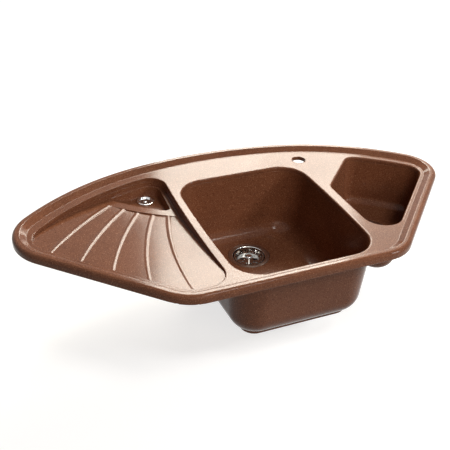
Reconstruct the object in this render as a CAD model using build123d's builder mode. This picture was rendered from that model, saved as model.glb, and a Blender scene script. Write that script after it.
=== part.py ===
from build123d import *
import os
from math import cos, degrees, radians, sin, sqrt, tan

# Corner kitchen sink, cast in one piece, with a drainer wing on the left, a main bowl and a
# small bowl. Millimetres. X runs right along the front edge, Y to the back corner, Z up.
# The origin is on the seating face, behind the middle of the front edge; z = 0 is the worktop.

# ---------------------------------------------------------------- driving dimensions
# Outline, measured from the middle of the front edge
overall_depth = 570.0        # front edge to the top of the back curve
front_half = 249.0           # middle of the front edge to its unrounded corner
side_angle = 45.0            # side edges, against the front edge
back_mid_radius = 943.0      # middle arc of the back curve
back_end_radius = 646.0      # the two arcs that carry it to the tips
back_mid_half_angle = 11.9   # half the angle of the middle arc
front_corner_radius = 100.0
left_tip_radius = 110.0
right_tip_radius = 92.0
seat_inset = 7.0             # front edge to the origin, across the seating face

# Rim and deck
rim_height = 20.0            # worktop to the crest of the rim
rim_round = 9.0              # outer upper edge of the rim
rim_under_round = 2.5        # outer lower edge of the rim
crest_width = 16.0           # outer edge to the inner edge of the crest
slope_width = 14.0           # from there down to the deck
slope_round = 2.0
deck_height = 10.0           # worktop to the deck, and the thickness of the deck
wall = 8.0                   # walls of the bowls and the recess
lip_round = 4.0              # upper edge of the bowls

# Seal strip under the rim
seal_inset = 13.0            # outer edge of the rim to the strip
seal_width = 8.0
seal_thickness = 2.5
seal_clearance = 0.3

# Main bowl opening
main_width = 323.0           # between the unrounded corners
main_middle_x = 42.5
main_front = 38.0            # front edge of the sink to the bowl
main_back_inset = 124.0      # bowl to the top of the back curve
main_side_bow = 6.0          # how far the sides bow outwards
main_corner_radius = 67.0
main_floor_z = -165.0
main_floor = 8.0
main_bottom_round = 42.0
bowl_draft = 5.5             # degrees, on the walls of both bowls
pad_inset = 25.0             # outer wall to the pad under the main bowl
pad_height = 7.0
pad_round = 4.0

# Small bowl opening
small_gap = 33.0             # between the unrounded corners of the bowls
small_back_inset = 48.0      # from the back curve
small_side_inset = 39.5      # from the right side edge
small_straight_inset = 257.0 # end of the straight left side to the top of the back curve
small_back_angle = 46.0      # the side that leads on to the back
small_front_radius = 47.0
small_back_radius = 30.0
small_tip_radius = 38.0
small_floor_z = -116.0
small_floor = 9.0
small_bottom_round = 22.0

# Drainer recess
recess_back_inset = 51.0
recess_side_inset = 38.0
recess_front_inset = 36.0
strip_width = 20.0           # deck between the recess and the main bowl
recess_back_radius = 42.0
recess_front_radius = 48.0
recess_side_radius = 45.0
recess_tip_radius = 58.0
recess_draft = 4.0
recess_lip_round = 1.2
recess_floor = 8.0           # thickness under the recess and its pocket
fan_offset = 173.0           # the ribs start round a point this far right of the recess
fan_behind = 185.0           # and this far behind the top of the back curve
ledge_radius = 462.0         # from there to the front of the ledge
ledge_z = -12.6              # flat top of the ledge
ledge_front_width = 22.0     # ledge in front of the pocket
ledge_side_width = 11.0      # ledge beside the pocket
ledge_back_width = 4.0
floor_offset = 56.0          # main bowl to the lowest point of the recess floor, a shallow cone
floor_back_inset = 140.0
floor_z = -20.0
recess_front_depth = 1.6     # deck to the floor in front of the lowest point
rib_count = 5
rib_length = 330.0           # more than the recess leaves, where they are cut off
rib_bend_radius = 940.0
rib_crown_radius = 12.0      # across their tops
rib_start_height = 1.5       # above the floor, as they leave the ledge
rib_end_height = 0.4
rib_first_start = 223.0      # degrees round the centre of the fan
rib_start_step = 4.55
rib_first_heading = 217.0    # degrees, direction of the first rib as it leaves the ledge
rib_heading_step = 8.35
rib_end_gap = 6.0            # end of the ribs to the recess wall

# Outlet pocket in the recess
pocket_top_z = -10.0
pocket_floor_z = -34.0
pocket_draft = 10.0
pocket_front_radius = 10.0
pocket_back_radius = 30.0
pocket_tip_radius = 8.0
pocket_bottom_round = 3.0
ramp_offset = 27.0           # middle of the outlet to the ramp that runs up to the pocket's tip
ramp_rise = 0.25

# Holes, from the unrounded back corners of the main bowl
tap_offset = 23.0            # to the right
tap_behind = 17.0            # and behind
tap_hole_radius = 17.5
main_drain_offset = 157.5    # from the left corner
main_drain_before = 109.0    # and in front
small_drain_offset = 132.0   # from the right corner
small_drain_before = 173.0
drain_hole_radius = 45.0
rebate_depth = 3.0           # seat of the strainer flange, sunk into the bowl floor
rebate_clearance = 1.0
overflow_offset = 69.0       # to the left
overflow_behind = 18.0       # and behind
overflow_hole_radius = 17.0

# Basket strainer and waste, the same for both bowls; heights from the bowl floor
flange_radius = 51.0
flange_gasket = 1.5
sheet = 1.0                  # stainless steel
dish_top_radius = 40.0
dish_bottom_radius = 37.5
dish_depth = 22.0            # bowl floor to the underside of the dish
dish_hole_count = 8
dish_hole_radius = 4.5
dish_hole_circle = 16.5
screw_radius = 3.0
screw_clearance = 0.2
screw_head_radius = 6.0
screw_head_height = 3.0
screw_length = 17.0
basket_radius = 33.5         # at the base
basket_flare = 2.0
basket_rim = 1.6
basket_height = 14.0
basket_hole_radius = 2.2
basket_hole_count = 18
petal_count = 8
petal_length = 13.0
petal_width = 6.0
petal_circle = 18.0
basket_seal_inner = 25.0
basket_seal_outer = 32.5
basket_seal_thickness = 4.2
seat_gap = 0.3               # basket seal to the dish it rests on
knob_stem_radius = 4.0
knob_radius = 8.0
knob_height = 15.0
knob_cap_height = 4.0
under_gasket = 3.0           # rubber ring under the bowl
waste_flange = 4.0
waste_flange_radius = 54.0
waste_cup_radius = 48.0
waste_wall = 3.0
waste_cup_depth = 32.0
waste_cone_height = 8.0
outlet_radius = 23.9         # 1 1/2 inch outlet
outlet_length = 22.0
boss_radius = 8.0
boss_height = 14.0
boss_gap = 3.0               # underside of the dish to the boss
spider_thickness = 3.0
spider_height = 8.0
spider_count = 3
inlet_radius = 12.0          # hose spigot on the waste
inlet_bore = 9.0
inlet_drop = 17.0            # top of the waste to the spigot's axis
inlet_reach = 27.0           # spigot's length beyond the cup
spigot_stop = 2.0            # ring at the root of a spigot, which the hose is pushed up to
spigot_stop_step = 2.5

# Overflow outlet in the pocket
rosette_radius = 21.0
rosette_rim_width = 5.5
rosette_rim_height = 3.4
rosette_rim_round = 1.2
rosette_clearance = 0.5      # in the hole it is centred by
rosette_plate_drop = 1.0     # underside of the ring to the underside of its perforated plate
rosette_plate = 1.2
rosette_hole_count = 6
rosette_hole_radius = 2.9
rosette_hole_circle = 9.6
rosette_screw_radius = 2.0
rosette_screw_head = 4.5
rosette_screw_head_height = 2.4
rosette_screw_length = 24.0
rosette_screw_clearance = 0.2
elbow_gasket = 2.0
elbow_flange_radius = 25.0
elbow_flange = 3.0
elbow_cup_radius = 19.0
elbow_wall = 3.0
elbow_depth = 28.0           # top of the elbow to its underside
elbow_boss_radius = 4.5
elbow_boss_drop = 6.0        # top of the elbow to the boss
elbow_boss_bore = 12.0
elbow_spigot_radius = 11.0
elbow_spigot_bore = 8.5
elbow_spigot_drop = 15.0
elbow_spigot_reach = 36.0

# ---------------------------------------------------------------- plan geometry
os.makedirs("parts", exist_ok=True)
PLAN = Plane(origin=(0, -seat_inset, 0))    # worktop plane, measured from the front edge

arc_shift = back_mid_radius - back_end_radius
mid_centre = Vector(0, overall_depth - back_mid_radius)
half_angle = radians(back_mid_half_angle)
end_centre = mid_centre + Vector(sin(half_angle), cos(half_angle)) * arc_shift

main_left = main_middle_x - main_width / 2
main_right = main_middle_x + main_width / 2
main_back = overall_depth - main_back_inset
main_middle_y = (main_front + main_back) / 2
small_left = main_right + small_gap
small_straight = overall_depth - small_straight_inset
fan_centre = Vector(main_left + fan_offset, overall_depth + fan_behind)
floor_x = main_left - floor_offset
floor_y = overall_depth - floor_back_inset
floor_rise = (deck_height - recess_front_depth - floor_z) / (floor_y - recess_front_inset)
tap_x = main_right + tap_offset
tap_y = main_back + tap_behind
main_drain_x = main_left + main_drain_offset
main_drain_y = main_back - main_drain_before
small_drain_x = main_right + small_drain_offset
small_drain_y = main_back - small_drain_before
overflow_x = main_left - overflow_offset
overflow_y = main_back + overflow_behind


def save(part, label):
    part.label = label
    export_step(part, f"parts/{label}.step")


def meet_circle(start, heading, centre, radius):
    """Where the line from start along heading leaves the circle."""
    to_start = start - centre
    along = to_start.dot(heading)
    across = to_start.dot(to_start) - radius ** 2
    return start + heading * (sqrt(along ** 2 - across) - along)


def inset_outline(back, side, front):
    """The outline without rounded corners, moved in by its own inset on each kind of edge."""
    slant = radians(side_angle)
    heading = Vector(cos(slant), sin(slant))
    on_side = Vector(front_half - side * sin(slant), side * cos(slant))
    corner = on_side + heading * ((front - on_side.Y) / sin(slant))
    end_radius = back_end_radius - back
    tip = meet_circle(on_side, heading, end_centre, end_radius)
    joint = mid_centre + Vector(sin(half_angle), cos(half_angle)) * (back_mid_radius - back)
    middle = (tip - end_centre).normalized() + (joint - end_centre).normalized()
    on_arc = end_centre + middle.normalized() * end_radius
    with BuildSketch() as face:
        with BuildLine():
            Line((0, front), corner)
            Line(corner, tip)
            ThreePointArc(tip, on_arc, joint)
            ThreePointArc(joint, (0, overall_depth - back), (-joint.X, joint.Y))
            ThreePointArc((-joint.X, joint.Y), (-on_arc.X, on_arc.Y), (-tip.X, tip.Y))
            Line((-tip.X, tip.Y), (-corner.X, corner.Y))
            Line((-corner.X, corner.Y), (0, front))
        make_face()
    return face.sketch


def drafted(outline, grow, top, bottom, draft, bottom_round):
    """A hollow that narrows from top down to bottom, its outline grown by the given amount."""
    with BuildPart() as hollow:
        with BuildSketch(PLAN.offset(top)):
            add(outline)
            if grow > 0:
                offset(amount=grow, mode=Mode.REPLACE)
        extrude(amount=top - bottom, taper=draft)
        fillet(hollow.faces().sort_by(Axis.Z)[-1].edges(), bottom_round)
        mirror(about=Plane.XY.offset(top), mode=Mode.REPLACE)
    return hollow.part


def upright(x, y, z):
    """An upright section plane through a point of the plan, and the vertical line there."""
    centre = Vector(x, y - seat_inset, z)
    return Plane(origin=centre, x_dir=(1, 0, 0), z_dir=(0, -1, 0)), Axis(centre, (0, 0, 1))


with BuildSketch() as rim_outline:
    add(inset_outline(0, 0, 0))
    corners = rim_outline.vertices().sort_by(Axis.Y)
    fillet(corners[:2], front_corner_radius)
    fillet(rim_outline.vertices().sort_by(Axis.X)[0], left_tip_radius)
    fillet(rim_outline.vertices().sort_by(Axis.X)[-1], right_tip_radius)

with BuildSketch() as main_opening:
    with BuildLine():
        Line((main_left, main_front), (main_right, main_front))
        ThreePointArc(
            (main_right, main_front),
            (main_right + main_side_bow, main_middle_y),
            (main_right, main_back),
        )
        Line((main_right, main_back), (main_left, main_back))
        ThreePointArc(
            (main_left, main_back),
            (main_left - main_side_bow, main_middle_y),
            (main_left, main_front),
        )
    make_face()
    fillet(main_opening.vertices(), main_corner_radius)

# The recess and the pocket follow the bowed left side of the main bowl
half_length = (main_back - main_front) / 2
bow_radius = half_length ** 2 / (2 * main_side_bow) + main_side_bow / 2
bow_centre = (main_left - main_side_bow + bow_radius, main_middle_y)

back_side = radians(small_back_angle)
beyond = 2 * overall_depth
with BuildSketch() as small_opening:
    add(inset_outline(small_back_inset, small_side_inset, 0))
    with BuildLine():
        Polyline(
            (small_left, -beyond),
            (small_left, small_straight),
            (small_left + beyond * cos(back_side), small_straight + beyond * sin(back_side)),
            (beyond * 2, -beyond),
            close=True,
        )
    make_face(mode=Mode.INTERSECT)
    fillet(small_opening.vertices().sort_by(Axis.Y)[0], small_front_radius)
    fillet(small_opening.vertices().sort_by(Axis.X)[-1], small_tip_radius)
    fillet(small_opening.vertices().sort_by(Axis.Y)[-1], small_back_radius)
    fillet(small_opening.vertices().sort_by(Axis.X)[0:2].sort_by(Axis.Y)[-1], small_back_radius)

# The recess runs back to the left one of the two end arcs
left_centre = (-end_centre.X, end_centre.Y)
slant = radians(side_angle)
side_line_x = -front_half + recess_side_inset / sin(slant) - recess_front_inset / tan(slant)
with BuildSketch() as recess_opening:
    with Locations(left_centre):
        Circle(back_end_radius - recess_back_inset)
    with BuildLine():
        Polyline(
            (side_line_x, recess_front_inset),
            (side_line_x - beyond * cos(slant), recess_front_inset + beyond * sin(slant)),
            (beyond, recess_front_inset + beyond * sin(slant)),
            (beyond, recess_front_inset),
            close=True,
        )
    make_face(mode=Mode.INTERSECT)
    with Locations(bow_centre):
        Circle(bow_radius + strip_width, mode=Mode.SUBTRACT)
    fillet(recess_opening.vertices().sort_by(Axis.Y)[-1], recess_back_radius)
    fillet(recess_opening.vertices().sort_by(Axis.X)[0], recess_tip_radius)
    front_corners = recess_opening.vertices().sort_by(Axis.Y)[:2].sort_by(Axis.X)
    fillet(front_corners[1], recess_front_radius)
    front_corner = recess_opening.vertices().sort_by(Axis.Y)[:2].sort_by(Axis.X)[0]
    fillet(front_corner, recess_side_radius)


def pocket_outline(grow):
    with BuildSketch() as outline:
        with Locations(left_centre):
            Circle(back_end_radius - recess_back_inset - ledge_back_width + grow)
        with Locations(fan_centre):
            Circle(ledge_radius - ledge_front_width + grow, mode=Mode.INTERSECT)
        with Locations(bow_centre):
            Circle(bow_radius + strip_width + ledge_side_width - grow, mode=Mode.SUBTRACT)
        fillet(outline.vertices().sort_by(Axis.Y)[-1], pocket_back_radius + grow)
        fillet(outline.vertices().sort_by(Axis.X)[0], pocket_tip_radius + grow)
        fillet(outline.vertices().sort_by(Axis.Y)[0], pocket_front_radius + grow)
    return outline.sketch


# ---------------------------------------------------------------- hollows of the sink body
main_hollow = drafted(
    main_opening.sketch, 0, deck_height, main_floor_z, bowl_draft, main_bottom_round
)
main_shell = drafted(
    main_opening.sketch,
    wall,
    deck_height,
    main_floor_z - main_floor,
    bowl_draft,
    main_bottom_round + wall,
)
small_hollow = drafted(
    small_opening.sketch, 0, deck_height, small_floor_z, bowl_draft, small_bottom_round
)
small_shell = drafted(
    small_opening.sketch,
    wall,
    deck_height,
    small_floor_z - small_floor,
    bowl_draft,
    small_bottom_round + wall,
)
pocket_hollow = drafted(
    pocket_outline(0), 0, pocket_top_z, pocket_floor_z, pocket_draft, pocket_bottom_round
)
pocket_shell = drafted(
    pocket_outline(wall),
    0,
    pocket_top_z,
    pocket_floor_z - recess_floor,
    pocket_draft,
    pocket_bottom_round + wall,
)


def drafted_tray(grow, sink):
    """The recess down to its sloping floor, grown outwards and sunk by the given amounts."""
    section, upward = upright(floor_x, floor_y, floor_z - sink)
    far = overall_depth
    with BuildPart() as tray:
        with BuildSketch(PLAN.offset(deck_height)):
            add(recess_opening.sketch)
            if grow > 0:
                offset(amount=grow, mode=Mode.REPLACE)
        extrude(amount=deck_height - pocket_floor_z, taper=recess_draft)
        mirror(about=Plane.XY.offset(deck_height), mode=Mode.REPLACE)
        with BuildSketch(section):
            with BuildLine():
                Polyline((0, -far), (0, 0), (far, far * floor_rise), (far, -far), close=True)
            make_face()
        revolve(axis=upward, mode=Mode.SUBTRACT)
    return tray.part


recess_hollow = drafted_tray(0, 0)
recess_shell = drafted_tray(wall, recess_floor)

# Ribs and ledge that stand on the recess floor
with BuildSketch() as rib_field:
    add(recess_opening.sketch)
    offset(amount=-rib_end_gap, mode=Mode.REPLACE)

def floor_height(point):
    """Height of the recess floor at a point of the plan."""
    return floor_z + floor_rise * (point - Vector(floor_x, floor_y)).length


# Each rib is a bent round bar that lies almost wholly in the floor, less and less proud of it
with BuildPart() as ribs:
    for i in range(rib_count):
        start_angle = radians(rib_first_start + i * rib_start_step)
        heading = radians(rib_first_heading + i * rib_heading_step)
        start = fan_centre + Vector(cos(start_angle), sin(start_angle)) * ledge_radius
        out = Vector(sin(heading), -cos(heading))
        turn = degrees(rib_length / rib_bend_radius)
        end = start + (out.rotate(Axis.Z, turn) - out) * rib_bend_radius
        crest_start = start + Vector(0, -seat_inset, floor_height(start) + rib_start_height)
        crest_end = end + Vector(0, -seat_inset, floor_height(end) + rib_end_height)
        chord = crest_end - crest_start
        across = Vector(chord.Y, -chord.X).normalized()
        to_middle = sqrt(rib_bend_radius ** 2 - chord.length ** 2 / 4)
        bend_centre = (crest_start + crest_end) / 2 - across * to_middle
        lying = Plane(origin=bend_centre, x_dir=crest_start - bend_centre, z_dir=across.cross(chord))
        with BuildSketch(Plane(origin=bend_centre, x_dir=lying.x_dir, z_dir=-lying.y_dir)):
            with Locations((rib_bend_radius, -rib_crown_radius)):
                Circle(rib_crown_radius)
        revolve(axis=Axis(bend_centre, lying.z_dir), revolution_arc=turn)
    # They end short of the recess wall
    with BuildSketch(PLAN.offset(deck_height)):
        add(rib_field.sketch)
    extrude(amount=pocket_floor_z - deck_height, mode=Mode.INTERSECT)

with BuildPart() as ledge:
    with BuildSketch(PLAN.offset(ledge_z)):
        with Locations(fan_centre):
            Circle(ledge_radius)
    extrude(amount=pocket_floor_z - ledge_z)

# ---------------------------------------------------------------- sink moulding
main_floor_underside = main_floor_z - main_floor
pad_growth = wall - pad_inset - (deck_height - main_floor_underside) * tan(radians(bowl_draft))
drains = (
    ("main", main_drain_x, main_drain_y, main_floor_z, main_floor + pad_height),
    ("small", small_drain_x, small_drain_y, small_floor_z, small_floor),
)


def rim_band(outer_inset, inner_inset):
    """The strip of the rim's outline between two insets."""
    with BuildSketch() as inner:
        add(rim_outline.sketch)
        offset(amount=-inner_inset, mode=Mode.REPLACE)
    with BuildSketch() as band:
        add(rim_outline.sketch)
        offset(amount=-outer_inset, mode=Mode.REPLACE)
        add(inner.sketch, mode=Mode.SUBTRACT)
    return band.sketch


seal_band = rim_band(seal_inset, seal_inset + seal_width)
groove_band = rim_band(seal_inset - seal_clearance, seal_inset + seal_width + seal_clearance)

section, upward = upright(overflow_x, overflow_y, pocket_floor_z)
with BuildPart() as pocket_ramp:
    with BuildSketch(section):
        with BuildLine():
            Polyline(
                (-ramp_offset, 0),
                (-ramp_offset - beyond, 0),
                (-ramp_offset - beyond, beyond * ramp_rise),
                close=True,
            )
        make_face()
    extrude(amount=beyond, both=True)

with BuildPart() as pocket_cut:
    add(pocket_hollow)
    add(pocket_ramp.part, mode=Mode.SUBTRACT)

with BuildPart() as recess_cut:
    add(recess_hollow)
    add([ledge.part, ribs.part], mode=Mode.SUBTRACT)
    add(pocket_cut.part)

with BuildPart() as moulding:
    with BuildSketch(PLAN):
        add(rim_outline.sketch)
    extrude(amount=rim_height)
    fillet(moulding.faces().sort_by(Axis.Z)[-1].edges(), rim_round)
    fillet(moulding.faces().sort_by(Axis.Z)[0].edges(), rim_under_round)
    # Slope from the crest down to the deck
    with BuildSketch(PLAN.offset(rim_height)):
        add(rim_outline.sketch)
        offset(amount=-crest_width, mode=Mode.REPLACE)
    with BuildSketch(PLAN.offset(deck_height)):
        add(rim_outline.sketch)
        offset(amount=-crest_width - slope_width, mode=Mode.REPLACE)
    loft(mode=Mode.SUBTRACT)
    crest = moulding.faces().filter_by(Plane.XY).sort_by(Axis.Z)[-1]
    fillet(crest.inner_wires()[0].edges(), slope_round)
    # Shells of the bowls, the recess and its pocket, and the pad the main bowl stands on
    add([main_shell, small_shell, recess_shell, pocket_shell])
    with BuildSketch(PLAN.offset(main_floor_z)):
        add(main_opening.sketch)
        offset(amount=pad_growth, mode=Mode.REPLACE)
    extrude(amount=-main_floor - pad_height)
    fillet(moulding.faces().sort_by(Axis.Z)[0].edges(), pad_round)
    # Hollows
    add([main_hollow, small_hollow, recess_cut.part], mode=Mode.SUBTRACT)
    deck = moulding.faces().filter_by(Plane.XY).group_by(Axis.Z)[-2].sort_by(SortBy.AREA)[-1]
    lips = deck.inner_wires().sort_by(Axis.X)
    fillet(lips[0].edges(), recess_lip_round)
    fillet(lips[1].edges() + lips[2].edges(), lip_round)
    # Tap hole, overflow hole and the seats of the strainers
    with Locations(PLAN.location):
        with Locations((tap_x, tap_y, deck_height)):
            Cylinder(tap_hole_radius, 3 * deck_height, mode=Mode.SUBTRACT)
    with Locations((overflow_x, overflow_y - seat_inset, pocket_floor_z)):
        Cylinder(overflow_hole_radius, 3 * recess_floor, mode=Mode.SUBTRACT)
    for name, x, y, top, thickness in drains:
        with Locations((x, y - seat_inset, top - thickness)):
            Cylinder(drain_hole_radius, 3 * thickness, mode=Mode.SUBTRACT)
        with Locations((x, y - seat_inset, top - rebate_depth)):
            Cylinder(
                flange_radius + rebate_clearance,
                2 * rebate_depth,
                align=(Align.CENTER, Align.CENTER, Align.MIN),
                mode=Mode.SUBTRACT,
            )
    # Groove for the seal strip
    with BuildSketch(PLAN):
        add(groove_band)
    extrude(amount=seal_thickness + seal_clearance, mode=Mode.SUBTRACT)

with BuildPart() as rim_seal:
    with BuildSketch(PLAN):
        add(seal_band)
    extrude(amount=seal_thickness)

# The moulding's regions: the deck with its rim, and the tray and the bowls beneath it.
# The tray's floor rises into the deck's opening, so it keeps what lies inside that opening.
with BuildPart() as tray_top:
    with BuildSketch(PLAN.offset(deck_height)):
        add(recess_opening.sketch)
    extrude(amount=deck_height, taper=recess_draft)
    mirror(about=Plane.XY.offset(deck_height), mode=Mode.REPLACE)
    add(moulding.part, mode=Mode.INTERSECT)

with BuildPart() as rim_deck:
    add(moulding.part)
    split(bisect_by=Plane.XY)
    add(tray_top.part, mode=Mode.SUBTRACT)

with BuildPart() as under_deck:
    add(moulding.part)
    split(bisect_by=Plane.XY, keep=Keep.BOTTOM)

tray_bottom, main_bowl, small_bowl = under_deck.solids().sort_by(Axis.X)
with BuildPart() as drainer_tray:
    add(tray_bottom)
    add(tray_top.part)

save(rim_deck.part, "rim_deck")
save(drainer_tray.part, "drainer_tray")
save(main_bowl, "main_bowl")
save(small_bowl, "small_bowl")
save(rim_seal.part, "rim_seal")

# ---------------------------------------------------------------- strainers and wastes
flange_underside = flange_gasket - rebate_depth
flange_top = flange_underside + sheet
dish_floor = sheet - dish_depth
basket_seal_base = dish_floor + seat_gap
basket_base = basket_seal_base + basket_seal_thickness
basket_top = basket_base + basket_height
boss_top = -dish_depth - boss_gap
gasket_inner = drain_hole_radius + rebate_clearance
gasket_outer = flange_radius - rebate_clearance

for name, x, y, top, thickness in drains:
    section, upward = upright(x, y, top)
    floor = Plane(origin=upward.position)
    waste_top = -thickness - under_gasket
    cup_base = waste_top - waste_cup_depth
    cone_base = cup_base - waste_cone_height

    with BuildPart() as upper_gasket:
        with BuildSketch(floor.offset(-rebate_depth)):
            Circle(gasket_outer)
            Circle(gasket_inner, mode=Mode.SUBTRACT)
        extrude(amount=flange_gasket)
    save(upper_gasket.part, f"{name}_flange_gasket")

    with BuildPart() as strainer_dish:
        with BuildSketch(section):
            with BuildLine():
                Polyline(
                    (0, -dish_depth),
                    (dish_bottom_radius + sheet, -dish_depth),
                    (dish_top_radius + sheet, flange_underside),
                    (flange_radius, flange_underside),
                    (flange_radius, flange_top),
                    (dish_top_radius, flange_top),
                    (dish_bottom_radius, dish_floor),
                    (0, dish_floor),
                    close=True,
                )
            make_face()
        revolve(axis=upward)
        inside = strainer_dish.faces().filter_by(GeomType.CONE).sort_by(SortBy.AREA)[0]
        fillet(inside.edges().filter_by(GeomType.CIRCLE), 2 * sheet)
        with BuildSketch(floor.offset(-dish_depth)):
            Circle(screw_radius + screw_clearance)
            with PolarLocations(dish_hole_circle, dish_hole_count):
                Circle(dish_hole_radius)
        extrude(amount=dish_depth, mode=Mode.SUBTRACT)
    save(strainer_dish.part, f"{name}_strainer_dish")

    with BuildPart() as clamp_screw:
        with BuildSketch(floor.offset(dish_floor)):
            Circle(screw_head_radius)
        extrude(amount=screw_head_height)
        fillet(clamp_screw.faces().sort_by(Axis.Z)[-1].edges(), screw_head_height / 3)
        with BuildSketch(floor.offset(dish_floor + screw_head_height)):
            Rectangle(2 * screw_head_radius, screw_head_height / 2)
        extrude(amount=-screw_head_height / 2, mode=Mode.SUBTRACT)
        with BuildSketch(floor.offset(dish_floor)):
            Circle(screw_radius)
        extrude(amount=-screw_length)
    save(clamp_screw.part, f"{name}_clamp_screw")

    with BuildPart() as lower_gasket:
        with BuildSketch(floor.offset(waste_top)):
            Circle(gasket_outer)
            Circle(gasket_inner, mode=Mode.SUBTRACT)
        extrude(amount=under_gasket)
    save(lower_gasket.part, f"{name}_body_gasket")

    with BuildPart() as waste_body:
        with BuildSketch(section):
            with BuildLine():
                Polyline(
                    (waste_cup_radius - waste_wall, waste_top),
                    (waste_flange_radius, waste_top),
                    (waste_flange_radius, waste_top - waste_flange),
                    (waste_cup_radius, waste_top - waste_flange),
                    (waste_cup_radius, cup_base),
                    (outlet_radius, cone_base),
                    (outlet_radius, cone_base - outlet_length),
                    (outlet_radius - waste_wall, cone_base - outlet_length),
                    (outlet_radius - waste_wall, cone_base + waste_wall),
                    (waste_cup_radius - waste_wall, cup_base + waste_wall),
                    close=True,
                )
            make_face()
        revolve(axis=upward)
        with BuildSketch(floor.offset(boss_top - boss_height)):
            with PolarLocations(waste_cup_radius / 2, spider_count, start_angle=90):
                Rectangle(waste_cup_radius - waste_wall, spider_thickness)
        extrude(amount=spider_height)
        with BuildSketch(floor.offset(boss_top)):
            Circle(boss_radius)
        extrude(amount=-boss_height)
        with BuildSketch(floor.offset(boss_top)):
            Circle(screw_radius + screw_clearance)
        extrude(amount=-boss_height, mode=Mode.SUBTRACT)
        if name == "main":
            # Inlet for the overflow, towards the drainer
            inlet = Plane(
                origin=upward.position + (-waste_cup_radius, 0, waste_top - inlet_drop),
                z_dir=(-1, 0, 0),
            )
            with BuildSketch(inlet.offset(-waste_wall)):
                Circle(inlet_radius)
            extrude(amount=waste_wall + inlet_reach)
            with BuildSketch(inlet.offset(-waste_wall)):
                Circle(inlet_radius + spigot_stop_step)
            extrude(amount=waste_wall + spigot_stop)
            with BuildSketch(inlet.offset(-2 * waste_wall)):
                Circle(inlet_bore)
            extrude(amount=2 * waste_wall + inlet_reach, mode=Mode.SUBTRACT)
    save(waste_body.part, f"{name}_waste_body")

    with BuildPart() as basket_cup:
        with BuildSketch(section):
            with BuildLine():
                Polyline(
                    (0, basket_base),
                    (basket_radius, basket_base),
                    (basket_radius + basket_flare, basket_top - basket_rim),
                    (basket_radius + basket_flare + basket_rim, basket_top - basket_rim),
                    (basket_radius + basket_flare + basket_rim, basket_top),
                    (basket_radius + basket_flare - sheet, basket_top),
                    (basket_radius - sheet, basket_base + sheet),
                    (0, basket_base + sheet),
                    close=True,
                )
            make_face()
        revolve(axis=upward)
        with BuildSketch(floor.offset(basket_base)):
            with PolarLocations(petal_circle, petal_count):
                SlotOverall(petal_length, petal_width)
        extrude(amount=sheet, mode=Mode.SUBTRACT)
        with Locations(floor.offset(basket_base + basket_height / 2).location):
            with PolarLocations(basket_radius, basket_hole_count):
                Cylinder(
                    basket_hole_radius,
                    4 * basket_flare,
                    rotation=(0, 90, 0),
                    mode=Mode.SUBTRACT,
                )
    save(basket_cup.part, f"{name}_basket_cup")

    with BuildPart() as basket_seal:
        with BuildSketch(floor.offset(basket_seal_base)):
            Circle(basket_seal_outer)
            Circle(basket_seal_inner, mode=Mode.SUBTRACT)
        extrude(amount=basket_seal_thickness)
    save(basket_seal.part, f"{name}_basket_seal")

    with BuildPart() as basket_knob:
        with BuildSketch(floor.offset(basket_base + sheet)):
            Circle(knob_stem_radius)
        extrude(amount=knob_height)
        with BuildSketch(floor.offset(basket_base + sheet + knob_height)):
            Circle(knob_radius)
        extrude(amount=-knob_cap_height)
        cap = basket_knob.faces().sort_by(Axis.Z)[-1]
        fillet(cap.edges(), knob_cap_height / 3)
    save(basket_knob.part, f"{name}_basket_knob")

# ---------------------------------------------------------------- overflow outlet
section, upward = upright(overflow_x, overflow_y, pocket_floor_z)
outlet = Plane(origin=upward.position)
plate_top = rosette_plate - rosette_plate_drop
elbow_top = -recess_floor - elbow_gasket
elbow_base = elbow_top - elbow_depth

with BuildPart() as rosette:
    with BuildSketch(section):
        with BuildLine():
            Polyline(
                (0, -rosette_plate_drop),
                (overflow_hole_radius - rosette_clearance, -rosette_plate_drop),
                (overflow_hole_radius - rosette_clearance, 0),
                (rosette_radius, 0),
                (rosette_radius, rosette_rim_height),
                (rosette_radius - rosette_rim_width, rosette_rim_height),
                (rosette_radius - rosette_rim_width, plate_top),
                (0, plate_top),
                close=True,
            )
        make_face()
    revolve(axis=upward)
    fillet(rosette.faces().sort_by(Axis.Z)[-1].edges(), rosette_rim_round)
    with BuildSketch(outlet.offset(-rosette_plate_drop)):
        Circle(rosette_screw_radius + rosette_screw_clearance)
        with PolarLocations(rosette_hole_circle, rosette_hole_count):
            Circle(rosette_hole_radius)
    extrude(amount=rosette_plate, mode=Mode.SUBTRACT)

with BuildPart() as rosette_screw:
    with BuildSketch(outlet.offset(plate_top)):
        Circle(rosette_screw_head)
    extrude(amount=rosette_screw_head_height)
    fillet(rosette_screw.faces().sort_by(Axis.Z)[-1].edges(), rosette_screw_head_height / 2)
    with BuildSketch(outlet.offset(plate_top + rosette_screw_head_height)):
        Rectangle(2 * rosette_screw_head, rosette_screw_head_height / 3)
    extrude(amount=-rosette_screw_head_height / 3, mode=Mode.SUBTRACT)
    with BuildSketch(outlet.offset(plate_top)):
        Circle(rosette_screw_radius)
    extrude(amount=-rosette_screw_length)

with BuildPart() as rosette_gasket:
    with BuildSketch(outlet.offset(elbow_top)):
        Circle(elbow_flange_radius)
        Circle(overflow_hole_radius, mode=Mode.SUBTRACT)
    extrude(amount=elbow_gasket)

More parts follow.
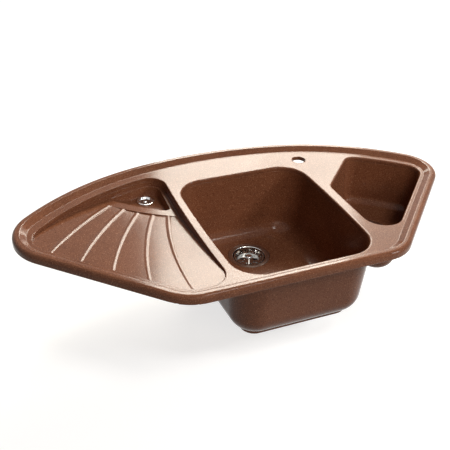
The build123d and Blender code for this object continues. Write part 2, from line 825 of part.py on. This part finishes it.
with BuildPart() as overflow_elbow:
    with BuildSketch(outlet.offset(elbow_top)):
        Circle(elbow_flange_radius)
    extrude(amount=-elbow_flange)
    with BuildSketch(outlet.offset(elbow_top)):
        Circle(elbow_cup_radius)
    extrude(amount=-elbow_depth)
    spigot = Plane(origin=upward.position + (0, 0, elbow_top - elbow_spigot_drop), z_dir=(0, -1, 0))
    with BuildSketch(spigot):
        Circle(elbow_spigot_radius)
    extrude(amount=elbow_spigot_reach)
    with BuildSketch(spigot):
        Circle(elbow_spigot_radius + spigot_stop_step)
    extrude(amount=elbow_cup_radius + spigot_stop)
    with BuildSketch(outlet.offset(elbow_top)):
        Circle(elbow_cup_radius - elbow_wall)
    extrude(amount=elbow_wall - elbow_depth, mode=Mode.SUBTRACT)
    with BuildSketch(spigot):
        Circle(elbow_spigot_bore)
    extrude(amount=elbow_spigot_reach, mode=Mode.SUBTRACT)
    with BuildSketch(outlet.offset(elbow_base)):
        Circle(elbow_boss_radius)
    extrude(amount=elbow_depth - elbow_boss_drop)
    with BuildSketch(outlet.offset(elbow_top - elbow_boss_drop)):
        Circle(rosette_screw_radius + rosette_screw_clearance)
    extrude(amount=-elbow_boss_bore, mode=Mode.SUBTRACT)

save(rosette.part, "drainer_rosette")
save(rosette_screw.part, "rosette_screw")
save(rosette_gasket.part, "rosette_gasket")
save(overflow_elbow.part, "overflow_elbow")
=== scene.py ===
import bpy
from mathutils import Matrix, Vector


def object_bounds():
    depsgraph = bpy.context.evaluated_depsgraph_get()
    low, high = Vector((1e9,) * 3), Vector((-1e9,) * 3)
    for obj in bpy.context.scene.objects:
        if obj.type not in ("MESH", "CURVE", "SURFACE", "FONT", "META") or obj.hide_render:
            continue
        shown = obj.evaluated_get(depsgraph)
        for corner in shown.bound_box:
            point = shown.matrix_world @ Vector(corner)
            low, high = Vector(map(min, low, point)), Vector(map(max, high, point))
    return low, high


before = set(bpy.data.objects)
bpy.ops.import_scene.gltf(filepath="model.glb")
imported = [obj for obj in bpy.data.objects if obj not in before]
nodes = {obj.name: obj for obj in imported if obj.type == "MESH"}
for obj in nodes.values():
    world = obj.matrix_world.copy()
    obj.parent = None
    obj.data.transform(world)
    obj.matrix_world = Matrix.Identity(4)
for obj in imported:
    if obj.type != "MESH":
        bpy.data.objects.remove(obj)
cad_low, cad_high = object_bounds()

# ---------------------------------------------------------------- camera
# Place in metres, and the directions to the right, up and back from the view
CAMERA_PLACE = Vector((-0.6468, -1.0572, 0.8997))
RIGHT = Vector((0.9215, -0.3871, 0.0324))
UP = Vector((0.1818, 0.5035, 0.8447))
BACK = Vector((-0.3433, -0.7724, 0.5343))
LENS_MM = 60.0
SENSOR_MM = 36.0

camera_data = bpy.data.cameras.new("camera")
camera_data.lens = LENS_MM
camera_data.sensor_width = SENSOR_MM
camera = bpy.data.objects.new("camera", camera_data)
bpy.context.scene.collection.objects.link(camera)
turn = Matrix((RIGHT, UP, BACK)).transposed().to_4x4()
camera.matrix_world = Matrix.Translation(CAMERA_PLACE) @ turn
bpy.context.scene.camera = camera
bpy.context.scene.view_settings.view_transform = "Standard"


# ---------------------------------------------------------------- node helpers
def new_material(name):
    """A material with its node tree and its shader."""
    material = bpy.data.materials.new(name)
    material.use_nodes = True
    tree = material.node_tree
    return material, tree, tree.nodes["Principled BSDF"]


def noise(tree, coordinates, scale, detail=2.0):
    """Noise with about `scale` grains per metre."""
    node = tree.nodes.new("ShaderNodeTexNoise")
    node.inputs["Scale"].default_value = scale
    node.inputs["Detail"].default_value = detail
    tree.links.new(coordinates, node.inputs["Vector"])
    return node.outputs["Fac"]


def remap(tree, value, low, high, to_low=0.0, to_high=1.0):
    """The value with low to high spread over to_low to to_high, and clamped there."""
    node = tree.nodes.new("ShaderNodeMapRange")
    node.inputs["From Min"].default_value = low
    node.inputs["From Max"].default_value = high
    node.inputs["To Min"].default_value = to_low
    node.inputs["To Max"].default_value = to_high
    tree.links.new(value, node.inputs["Value"])
    return node.outputs["Result"]


def mix_colour(tree, factor, first, second):
    """First at factor 0, second at 1; each is a colour or an output."""
    node = tree.nodes.new("ShaderNodeMix")
    node.data_type = "RGBA"
    tree.links.new(factor, node.inputs["Factor"])
    for socket, colour in ((node.inputs[6], first), (node.inputs[7], second)):
        if isinstance(colour, tuple):
            socket.default_value = colour
        else:
            tree.links.new(colour, socket)
    return node.outputs[2]


def bump(tree, shader, height, strength, distance, edge_radius=0.0):
    """Bump from a height; edge_radius, in metres, also softens the solid's edges."""
    node = tree.nodes.new("ShaderNodeBump")
    node.inputs["Strength"].default_value = strength
    node.inputs["Distance"].default_value = distance
    tree.links.new(height, node.inputs["Height"])
    if edge_radius:
        rounded = tree.nodes.new("ShaderNodeBevel")
        rounded.samples = 6
        rounded.inputs["Radius"].default_value = edge_radius
        tree.links.new(rounded.outputs["Normal"], node.inputs["Normal"])
    tree.links.new(node.outputs["Normal"], shader.inputs["Normal"])


def coordinates_of(tree):
    """Metres in the object's own frame."""
    return tree.nodes.new("ShaderNodeTexCoord").outputs["Object"]


# ---------------------------------------------------------------- materials
def composite():
    """Moulded quartz composite: brown with lighter and darker grains, satin."""
    material, tree, shader = new_material("composite")
    place = coordinates_of(tree)
    cloud = noise(tree, place, 9.0, 3.0)
    base = mix_colour(
        tree, remap(tree, cloud, 0.35, 0.65), (0.149, 0.056, 0.028, 1), (0.179, 0.067, 0.033, 1)
    )
    dark = remap(tree, noise(tree, place, 620.0, 1.0), 0.56, 0.66)
    with_dark = mix_colour(tree, dark, base, (0.070, 0.024, 0.011, 1))
    pale = remap(tree, noise(tree, place, 470.0, 1.0), 0.60, 0.70)
    with_pale = mix_colour(tree, pale, with_dark, (0.300, 0.135, 0.075, 1))
    tree.links.new(with_pale, shader.inputs["Base Color"])
    rough = remap(tree, noise(tree, place, 300.0, 3.0), 0.3, 0.7, 0.10, 0.15)
    tree.links.new(rough, shader.inputs["Roughness"])
    shader.inputs["IOR"].default_value = 1.21
    bump(tree, shader, noise(tree, place, 800.0, 2.0), 0.08, 0.0004, edge_radius=0.003)
    return material


def stainless():
    """Pressed stainless sheet, polished, with slow changes of sheen."""
    material, tree, shader = new_material("stainless")
    place = coordinates_of(tree)
    shader.inputs["Base Color"].default_value = (0.60, 0.59, 0.57, 1)
    shader.inputs["Metallic"].default_value = 1.0
    rough = remap(tree, noise(tree, place, 90.0, 3.0), 0.3, 0.7, 0.08, 0.15)
    tree.links.new(rough, shader.inputs["Roughness"])
    bump(tree, shader, noise(tree, place, 60.0, 2.0), 0.05, 0.0003)
    return material


def bright_metal():
    """Polished chrome with faint wipe marks."""
    material, tree, shader = new_material("bright_metal")
    place = coordinates_of(tree)
    shader.inputs["Base Color"].default_value = (0.80, 0.80, 0.80, 1)
    shader.inputs["Metallic"].default_value = 1.0
    rough = remap(tree, noise(tree, place, 120.0, 4.0), 0.35, 0.7, 0.10, 0.17)
    tree.links.new(rough, shader.inputs["Roughness"])
    bump(tree, shader, noise(tree, place, 80.0, 2.0), 0.04, 0.0002)
    return material


def rubber():
    """Dark soft rubber with a fine dull grain."""
    material, tree, shader = new_material("rubber")
    place = coordinates_of(tree)
    cloud = remap(tree, noise(tree, place, 60.0, 3.0), 0.3, 0.7)
    tone = mix_colour(tree, cloud, (0.014, 0.014, 0.015, 1), (0.026, 0.026, 0.027, 1))
    tree.links.new(tone, shader.inputs["Base Color"])
    rough = remap(tree, cloud, 0.0, 1.0, 0.55, 0.70)
    tree.links.new(rough, shader.inputs["Roughness"])
    bump(tree, shader, noise(tree, place, 1500.0, 2.0), 0.15, 0.0002)
    return material


def waste_plastic():
    """Moulded black plastic with a slight orange-peel skin."""
    material, tree, shader = new_material("waste_plastic")
    place = coordinates_of(tree)
    cloud = remap(tree, noise(tree, place, 30.0, 3.0), 0.3, 0.7)
    tone = mix_colour(tree, cloud, (0.020, 0.020, 0.021, 1), (0.032, 0.032, 0.033, 1))
    tree.links.new(tone, shader.inputs["Base Color"])
    rough = remap(tree, noise(tree, place, 90.0, 3.0), 0.3, 0.7, 0.38, 0.50)
    tree.links.new(rough, shader.inputs["Roughness"])
    bump(tree, shader, noise(tree, place, 700.0, 2.0), 0.08, 0.0003)
    return material


BY_SLOT = {
    "composite": composite(),
    "seal": rubber(),
    "stainless": stainless(),
    "bright_metal": bright_metal(),
    "waste_plastic": waste_plastic(),
}
for cad in nodes.values():
    for slot in cad.material_slots:
        slot.material = BY_SLOT[slot.material.name]


# ---------------------------------------------------------------- floor, backdrop and light
def seen_directly(tree):
    """1 where the camera, a reflection or a transmission meets the surface, else 0."""
    path = tree.nodes.new("ShaderNodeLightPath")
    total = path.outputs["Is Camera Ray"]
    for kind in ("Is Glossy Ray", "Is Transmission Ray"):
        node = tree.nodes.new("ShaderNodeMath")
        node.operation = "MAXIMUM"
        tree.links.new(total, node.inputs[0])
        tree.links.new(path.outputs[kind], node.inputs[1])
        total = node.outputs[0]
    return total


def floor_material():
    """Pale grey that the lamps make white, with a glow that is weaker near the sink.

    The sink's shadow stays. The floor lights the sink less than it shows.
    """
    material, tree, shader = new_material("floor")
    place = coordinates_of(tree)
    cloud = remap(tree, noise(tree, place, 2.0, 3.0), 0.3, 0.7)
    tone = mix_colour(tree, cloud, (0.46, 0.46, 0.46, 1), (0.48, 0.48, 0.48, 1))
    seen = seen_directly(tree)
    seen_tone = mix_colour(tree, seen, (0.35, 0.34, 0.33, 1), tone)
    tree.links.new(seen_tone, shader.inputs["Base Color"])
    shader.inputs["Roughness"].default_value = 0.9
    shader.inputs["Specular IOR Level"].default_value = 0.0
    distance = tree.nodes.new("ShaderNodeVectorMath")
    distance.operation = "LENGTH"
    tree.links.new(place, distance.inputs[0])
    far = remap(tree, distance.outputs["Value"], 0.8, 3.0, 0.72, 1.0)
    glow = tree.nodes.new("ShaderNodeMath")
    glow.operation = "MULTIPLY"
    tree.links.new(far, glow.inputs[0])
    tree.links.new(seen, glow.inputs[1])
    shader.inputs["Emission Color"].default_value = (1, 1, 1, 1)
    tree.links.new(glow.outputs[0], shader.inputs["Emission Strength"])
    return material


FLOOR_HALF = 14.0
CORNERS = ((-1, -1), (1, -1), (1, 1), (-1, 1))
floor_mesh = bpy.data.meshes.new("floor")
floor_mesh.from_pydata(
    [(x * FLOOR_HALF, y * FLOOR_HALF, 0) for x, y in CORNERS], [], [(0, 1, 2, 3)]
)
floor_mesh.materials.append(floor_material())
floor = bpy.data.objects.new("floor", floor_mesh)
floor.location.z = cad_low[2]
bpy.context.scene.collection.objects.link(floor)

AMBIENT = 0.03  # what the surroundings shed on the sink
SHOWN = 1.0  # what they show to the camera and in reflections
world = bpy.data.worlds.new("studio")
bpy.context.scene.world = world
world.use_nodes = True
sky = world.node_tree
for old in list(sky.nodes):
    sky.nodes.remove(old)
choice = sky.nodes.new("ShaderNodeMixShader")
sky.links.new(seen_directly(sky), choice.inputs["Fac"])
for socket, strength in ((choice.inputs[1], AMBIENT), (choice.inputs[2], SHOWN)):
    background = sky.nodes.new("ShaderNodeBackground")
    background.inputs["Color"].default_value = (1, 1, 1, 1)
    background.inputs["Strength"].default_value = strength
    sky.links.new(background.outputs[0], socket)
output = sky.nodes.new("ShaderNodeOutputWorld")
sky.links.new(choice.outputs[0], output.inputs["Surface"])


def panel(name, place, target, width, height, power, colour=(1.0, 1.0, 1.0)):
    """Soft rectangular lamp at a place, aimed at a target."""
    light = bpy.data.lights.new(name, "AREA")
    light.shape = "RECTANGLE"
    light.size = width
    light.size_y = height
    light.energy = power
    light.color = colour
    lamp = bpy.data.objects.new(name, light)
    lamp.location = place
    aim = Vector(target) - Vector(place)
    lamp.rotation_euler = aim.to_track_quat("-Z", "Y").to_euler()
    bpy.context.scene.collection.objects.link(lamp)


# A wall of warm panels behind the sink, which its flat parts mirror to the camera:
# name, left, right, bottom and top edge in metres, and watts per square metre
WALL_Y = 2.5
WALL_COLOUR = (1.0, 0.95, 0.83)
WALL = (
    ("back_left_low", 0.49, 1.15, 0.85, 1.30, 50.0),
    ("back_left_middle", 0.49, 1.15, 1.30, 1.90, 75.0),
    ("back_left_high", 0.42, 1.15, 1.90, 2.60, 104.0),
    ("back_right_low", 1.15, 1.83, 0.85, 1.40, 44.0),
    ("back_right_middle", 1.15, 1.88, 1.40, 1.90, 61.0),
    ("back_right_high", 1.15, 1.88, 1.90, 2.60, 120.0),
    ("back_far_right", 1.88, 2.45, 0.85, 2.60, 14.0),
)
for name, left, right, bottom, top, flux in WALL:
    width, height = right - left, top - bottom
    middle_x, middle_z = (right + left) / 2, (top + bottom) / 2
    panel(
        name,
        (middle_x, WALL_Y, middle_z),
        (middle_x, 0.0, middle_z),
        width,
        height,
        flux * width * height,
        WALL_COLOUR,
    )

SINK_MIDDLE = (0.0, 0.25, 0.0)
panel("front", (-0.3, -2.2, 1.4), SINK_MIDDLE, 1.6, 1.6, 22.0, (1.0, 0.85, 0.70))
panel("front_right", (1.9, -1.2, 1.5), SINK_MIDDLE, 0.6, 0.6, 32.0)
panel("high_front", (0.8, -1.2, 2.8), SINK_MIDDLE, 0.8, 0.8, 38.0, (1.0, 0.97, 0.92))
